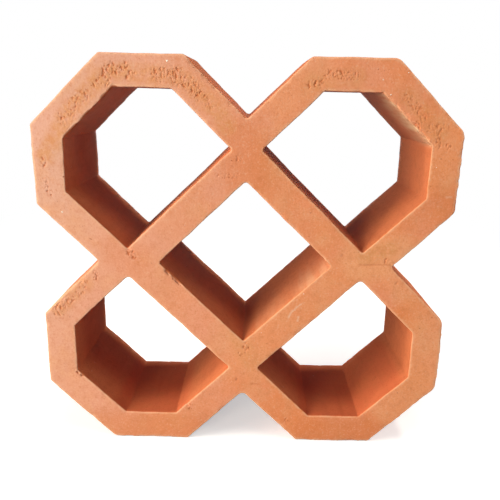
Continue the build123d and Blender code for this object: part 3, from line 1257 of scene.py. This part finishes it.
        # The walls stand out as much as they sink.
        mean = add(tree, "ShaderNodeMath", {0: size["ripple_depth"], 1: size["sway_depth"]}, operation="ADD")
        mean = add(tree, "ShaderNodeMath", {0: mean, 1: 0.5}, operation="MULTIPLY")
        wall_sunk = add(tree, "ShaderNodeMath", {0: wall_sunk, 1: mean}, operation="SUBTRACT")
        ripple = add(tree, "ShaderNodeMath", {
            0: size["ripple_depth"], 1: self.face_ripple}, operation="MULTIPLY")
        face_sunk = add(tree, "ShaderNodeMath", {0: wire, 1: ripple, 2: sunk}, operation="MULTIPLY_ADD")
        pit = self._pits(tree, size, torn, scored, face)
        chip = self._chips(tree, size)
        pitted = add(tree, "ShaderNodeMath", {0: pit, 1: size["pit_depth"]}, operation="MULTIPLY")
        # Ruffled clay stands up as much as it sinks.
        ruffle = add(tree, "ShaderNodeMath", {0: ruffle, 1: 0.5}, operation="SUBTRACT")
        ruffle = add(tree, "ShaderNodeMath", {0: ruffle, 1: size["ruffle_depth"]}, operation="MULTIPLY")
        pitted = add(tree, "ShaderNodeMath", {0: ruffle, 1: torn, 2: pitted}, operation="MULTIPLY_ADD")

        for share in (size["nibble_depth"], nibbled, arris):
            bumped = add(tree, "ShaderNodeMath", {0: bumped, 1: share}, operation="MULTIPLY")
        aside = add(tree, "ShaderNodeMath", {0: chip, 1: bumped}, operation="ADD")
        out = add(tree, "ShaderNodeMath", {0: wall_sunk, 1: wall_share, 2: aside}, operation="MULTIPLY_ADD")
        back = add(tree, "ShaderNodeMath", {0: face_sunk, 1: face_share, 2: chip}, operation="MULTIPLY_ADD")
        back = add(tree, "ShaderNodeMath", {0: back, 1: pitted}, operation="ADD")
        out = add(tree, "ShaderNodeMath", {0: out, 1: -1.0}, operation="MULTIPLY")
        back = add(tree, "ShaderNodeMath", {0: back, 1: inward}, operation="MULTIPLY")
        sideways = add(tree, "ShaderNodeVectorMath", {0: outward, "Scale": out}, operation="SCALE")
        offset = add(tree, "ShaderNodeVectorMath", {
            0: sideways, 1: add(tree, "ShaderNodeCombineXYZ", {"Y": back})}, operation="ADD")
        geometry = add(tree, "GeometryNodeStoreNamedAttribute", {
            "Geometry": geometry, "Name": Skin.PIT.value, "Value": pit})
        return add(tree, "GeometryNodeSetPosition", {"Geometry": geometry, "Offset": offset})

    def _pits(self, tree: bpy.types.NodeTree, size: bpy.types.NodeOutputs, torn: bpy.types.NodeSocket,
              scored: bpy.types.NodeSocket, face: bpy.types.NodeSocket) -> bpy.types.NodeSocket:
        """Short dimples that stand upright, as the wire dragged them, with round pits and scored lines.

        Args:
            tree: the press's tree.
            size: the tree's inputs.
            torn: how torn the skin is.
            scored: how deep a line is scored in it.
            face: how square the skin faces the cut.

        Returns:
            How deep the pit is at each point, from 0 to 1.
        """
        both = add(tree, "ShaderNodeMath", {
            0: self.tear.lay(tree, size), 1: self.hole.lay(tree, size)}, operation="MAXIMUM")
        likely = add(tree, "ShaderNodeMapRange", {
            "Value": torn, "From Min": self.torn_from, "From Max": self.torn_full,
        }, interpolation_type="SMOOTHSTEP")
        both = add(tree, "ShaderNodeMath", {0: both, 1: likely}, operation="MULTIPLY")
        every = add(tree, "ShaderNodeMath", {0: both, 1: scored}, operation="MAXIMUM")
        return add(tree, "ShaderNodeMath", {0: every, 1: face}, operation="MULTIPLY")

    def _chips(self, tree: bpy.types.NodeTree, size: bpy.types.NodeOutputs) -> bpy.types.NodeSocket:
        """Chips along the arrises, more where the face is torn.

        Args:
            tree: the press's tree.
            size: the tree's inputs.

        Returns:
            How far the clay is broken back at each point, in metres.
        """
        arris, torn = (
            add(tree, "GeometryNodeInputNamedAttribute", {"Name": name.value}, data_type="FLOAT")
            for name in (Skin.ARRIS, Mark.TORN))
        kinds = (
            (self.small_share, self.small_chip),
            (self.large_share, self.large_chip),
            (torn, self.torn_chip),
        )
        broken = 0.0
        for share, kind in kinds:
            chips = add(tree, "ShaderNodeMath", {0: kind.lay(tree, size), 1: share}, operation="MULTIPLY")
            broken = add(tree, "ShaderNodeMath", {0: chips, 1: broken}, operation="MAXIMUM")
        broken = add(tree, "ShaderNodeMath", {0: broken, 1: arris}, operation="MULTIPLY")
        return add(tree, "ShaderNodeMath", {0: broken, 1: size["chip_depth"]}, operation="MULTIPLY")


def kept_mesh(worked: bpy.types.Object, name: str) -> bpy.types.Object:
    """Turns what the modifiers make into a plain mesh on an object of its own.

    Args:
        worked: the object with live modifiers, which is removed.
        name: the new piece's name.

    Returns:
        The new piece.
    """
    graph = bpy.context.evaluated_depsgraph_get()
    mesh = bpy.data.meshes.new_from_object(worked.evaluated_get(graph), depsgraph=graph)
    mesh.name = name
    finish = mesh.materials[-1]
    mesh.materials.clear()
    mesh.materials.append(finish)
    mesh.polygons.foreach_set("material_index", [0] * len(mesh.polygons))
    piece = bpy.data.objects.new(name, mesh)
    bpy.context.scene.collection.objects.link(piece)
    bpy.data.meshes.remove(worked.data)
    return piece


@dataclass(frozen=True)
class KnownGrain:
    """A grain of lime that shows on the front face, given as X and Z."""

    at: tuple[float, float]
    radius: float


def known_grains() -> list[KnownGrain]:
    """Lists the grains of lime that can be made out.

    Returns:
        The grains, the largest first.
    """
    return [
        KnownGrain((-36.6, 193.5), 0.72),
        KnownGrain((-88.7, 123.1), 0.72),
        KnownGrain((65.3, 180.8), 0.45),
        KnownGrain((61.3, 187.3), 0.42),
        KnownGrain((72.5, 190.5), 0.32),
        KnownGrain((29.8, 83.8), 0.32),
        KnownGrain((9.1, 62.3), 0.30),
        KnownGrain((89.5, 148.2), 0.26),
    ]


@dataclass
class LimeGrit:
    """Grains of burnt lime that show in the skin: a few at known places, and fine ones anywhere."""

    block: bpy.types.Object
    finish: BurntLime = field(default_factory=BurntLime)
    known: list[KnownGrain] = field(default_factory=known_grains)
    # The fine grains, and their radii.
    per_square_metre: float = 900.0
    smallest: float = 0.10
    largest: float = 0.22
    # How deep a grain's middle lies under the skin, as a share of its radius.
    sunk: float = 0.7
    # How often a grain's facets are divided.
    divided: int = 2
    seed: int = 3

    def build(self) -> bpy.types.Object:
        """Scatters the grains on the block.

        Returns:
            The grains' piece.
        """
        low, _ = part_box(BLOCK_NODE)
        spots = bpy.data.meshes.new("known_grains")
        # A millimetre before the face, from where a ray finds the skin.
        spots.from_pydata([(grain.at[0] * MM, low.y - MM, grain.at[1] * MM) for grain in self.known], [], [])
        radii = spots.attributes.new(GRAIN_RADIUS, "FLOAT", "POINT")
        radii.data.foreach_set("value", [grain.radius * MM for grain in self.known])
        marker = bpy.data.objects.new("known_grains", spots)
        carrier = bpy.data.objects.new("grit", self.block.data.copy())
        bpy.context.scene.collection.objects.link(carrier)
        tree, found = self._tree()
        strewer = carrier.modifiers.new("grit", "NODES")
        strewer.node_group = tree
        values = {"per_square_metre": self.per_square_metre, "smallest": self.smallest * MM,
                  "largest": self.largest * MM, "sunk": -self.sunk, "seed": self.seed, "known": marker,
                  "lime": self.finish.build()}
        for name, value in values.items():
            strewer[found[name]] = value
        piece = kept_mesh(carrier, "lime_grit")
        bpy.data.meshes.remove(spots)
        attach(piece, ROOT_BODY)
        log.info("%s: %d triangles", piece.name, len(piece.data.polygons))
        return piece

    def _tree(self) -> tuple[bpy.types.NodeTree, dict[str, str]]:
        """Builds the tree that scatters the grains.

        Returns:
            The tree, and each input's identifier by its name.
        """
        tree = bpy.data.node_groups.new("lime_grit", "GeometryNodeTree")
        kinds = {"Geometry": "NodeSocketGeometry", "per_square_metre": "NodeSocketFloat",
                 "smallest": "NodeSocketFloat", "largest": "NodeSocketFloat", "sunk": "NodeSocketFloat",
                 "seed": "NodeSocketInt", "known": "NodeSocketObject", "lime": "NodeSocketMaterial"}
        found = {name: tree.interface.new_socket(name, in_out="INPUT", socket_type=kind).identifier
                 for name, kind in kinds.items()}
        tree.interface.new_socket("Geometry", in_out="OUTPUT", socket_type="NodeSocketGeometry")
        size = add(tree, "NodeGroupInput").node.outputs
        strewn = add(tree, "GeometryNodeDistributePointsOnFaces", {
            "Mesh": size["Geometry"], "Density": size["per_square_metre"], "Seed": size["seed"]}).node.outputs
        width = add(tree, "FunctionNodeRandomValue", {
            2: size["smallest"], 3: size["largest"], "Seed": size["seed"]}, 1, data_type="FLOAT")
        fine = self._grains(tree, size, strewn["Points"], strewn["Normal"], width)

        spots = add(tree, "GeometryNodeObjectInfo", {"Object": size["known"]}, "Geometry")
        hit = add(tree, "GeometryNodeRaycast", {
            "Target Geometry": size["Geometry"], "Ray Direction": (0.0, 1.0, 0.0)}).node.outputs
        landed = add(tree, "GeometryNodeSetPosition", {"Geometry": spots, "Position": hit["Hit Position"]})
        radius = add(tree, "GeometryNodeInputNamedAttribute", {"Name": GRAIN_RADIUS}, data_type="FLOAT")
        out = add(tree, "ShaderNodeCombineXYZ", {"Y": -1.0})
        known = self._grains(tree, size, landed, out, radius)
        joined = add(tree, "GeometryNodeJoinGeometry", {0: fine})
        tree.links.new(known, joined.node.inputs[0])
        solid = add(tree, "GeometryNodeRealizeInstances", {"Geometry": joined})
        limed = add(tree, "GeometryNodeSetMaterial", {"Geometry": solid, "Material": size["lime"]})
        add(tree, "NodeGroupOutput", {"Geometry": limed})
        return tree, found

    def _grains(self, tree: bpy.types.NodeTree, size: bpy.types.NodeOutputs, points: bpy.types.NodeSocket,
                out: bpy.types.NodeSocket, radius: bpy.types.NodeSocket) -> bpy.types.NodeSocket:
        """Sets one crushed grain in the skin at each point.

        Args:
            tree: the grit's tree.
            size: the tree's inputs.
            points: where the grains lie.
            out: the way out of the skin.
            radius: each grain's radius, in metres.

        Returns:
            The grains, as instances.
        """
        sunk = add(tree, "ShaderNodeMath", {0: radius, 1: size["sunk"]}, operation="MULTIPLY")
        under = add(tree, "ShaderNodeVectorMath", {0: out, "Scale": sunk}, operation="SCALE")
        set_in = add(tree, "GeometryNodeSetPosition", {"Geometry": points, "Offset": under})
        grain = add(tree, "GeometryNodeMeshIcoSphere", {"Radius": 1.0, "Subdivisions": self.divided})
        turn = add(tree, "FunctionNodeRandomValue", {
            0: (0.0, 0.0, 0.0), 1: (math.tau, math.tau, math.tau), "Seed": size["seed"]},
            data_type="FLOAT_VECTOR")
        return add(tree, "GeometryNodeInstanceOnPoints", {
            "Points": set_in, "Instance": grain, "Rotation": turn, "Scale": radius})


@dataclass(frozen=True)
class Lamp:
    """One square soft lamp."""

    name: str
    at: tuple[float, float, float]
    size: float
    # In watts.
    power: float

    def hang(self, towards: Vector) -> None:
        """Hangs the lamp so that it faces a point.

        Args:
            towards: that point, in metres.
        """
        lamp = bpy.data.lights.new(self.name, "AREA")
        lamp.size = self.size * MM
        lamp.energy = self.power
        holder = bpy.data.objects.new(self.name, lamp)
        holder.location = Vector(self.at) * MM
        holder.rotation_euler = (towards - holder.location).to_track_quat("-Z", "Y").to_euler()
        holder.visible_camera = False
        bpy.context.scene.collection.objects.link(holder)


@dataclass
class Studio:
    """A pale board under soft lamps, with the camera where the picture was taken from.

    Most of the lamps hang on the left. The ones at the right, above and far behind show the block's other
    sides.
    """

    camera_at: tuple[float, float, float] = (3.45, -298.7, 180.0)
    # In degrees.
    camera_turn: tuple[float, float, float] = (74.617, -1.112, 0.512)
    lens: float = 40.9
    sensor: float = 36.0
    lamps: tuple[Lamp, ...] = (
        Lamp("half_left", (-644.0, -1115.0, 281.0), 400.0, 9.25),
        Lamp("left", (-1115.0, -644.0, 281.0), 400.0, 7.0),
        Lamp("high_left", (-1001.0, -364.0, 846.0), 400.0, 6.4),
        Lamp("low_left", (-638.0, -112.0, 43.0), 80.0, 1.42),
        Lamp("overhead", (0.0, -445.0, 1322.0), 400.0, 2.2),
        Lamp("high_right", (1001.0, -364.0, 846.0), 400.0, 2.1),
        Lamp("right", (1300.0, 0.0, 170.0), 160.0, 6.0),
        Lamp("above", (600.0, 150.0, 1350.0), 160.0, 6.2),
        Lamp("behind", (0.0, 4500.0, 100.0), 400.0, 65.0),
    )
    # The colour of the weak light from the rest of the room.
    room: str = "#434462"
    floor_half: float = 3000.0
    block_middle: float = 100.0

    def build(self) -> None:
        """Sets up the floor, the lights, the world and the camera."""
        self._floor()
        for lamp in self.lamps:
            lamp.hang(Vector((0.0, 0.0, self.block_middle)) * MM)
        self._world()
        self._camera()

    def _floor(self) -> None:
        """Lays the board that the block stands on."""
        half = self.floor_half * MM
        mesh = bpy.data.meshes.new("floor")
        corners = [(-half, -half, 0.0), (half, -half, 0.0), (half, half, 0.0), (-half, half, 0.0)]
        mesh.from_pydata(corners, [], [(0, 1, 2, 3)])
        mesh.materials.append(PaleFloor().build())
        floor = bpy.data.objects.new("floor", mesh)
        bpy.context.scene.collection.objects.link(floor)

    def _world(self) -> None:
        """Makes the room dim for the block, and white where the camera sees past it."""
        world = bpy.data.worlds.new("room")
        world.use_nodes = True
        tree = world.node_tree
        tree.nodes.clear()
        sides = {MIX_SHARE: seen_ray(tree), MIX_UNDER: linear(self.room), MIX_OVER: (1.0, 1.0, 1.0, 1.0)}
        colour = add(tree, "ShaderNodeMix", sides, MIXED_COLOUR, data_type="RGBA")
        light = add(tree, "ShaderNodeBackground", {"Color": colour})
        add(tree, "ShaderNodeOutputWorld", {"Surface": light})
        bpy.context.scene.world = world

    def _camera(self) -> None:
        """Puts the camera where the picture was taken from."""
        camera = bpy.data.cameras.new("camera")
        camera.lens = self.lens
        camera.sensor_width = self.sensor
        holder = bpy.data.objects.new("camera", camera)
        holder.location = Vector(self.camera_at) * MM
        holder.rotation_euler = Euler([math.radians(angle) for angle in self.camera_turn])
        bpy.context.scene.collection.objects.link(holder)
        bpy.context.scene.camera = holder


def main() -> None:
    """Builds the block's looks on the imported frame, and its studio."""
    logging.basicConfig(level=logging.INFO, format="%(name)s: %(message)s")
    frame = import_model()
    block = ScreenBlock(frame["nodes"][BLOCK_NODE]).build()
    LimeGrit(block).build()
    Studio().build()
    bpy.context.scene.view_settings.view_transform = "Standard"


if __name__ == "__main__":
    main()
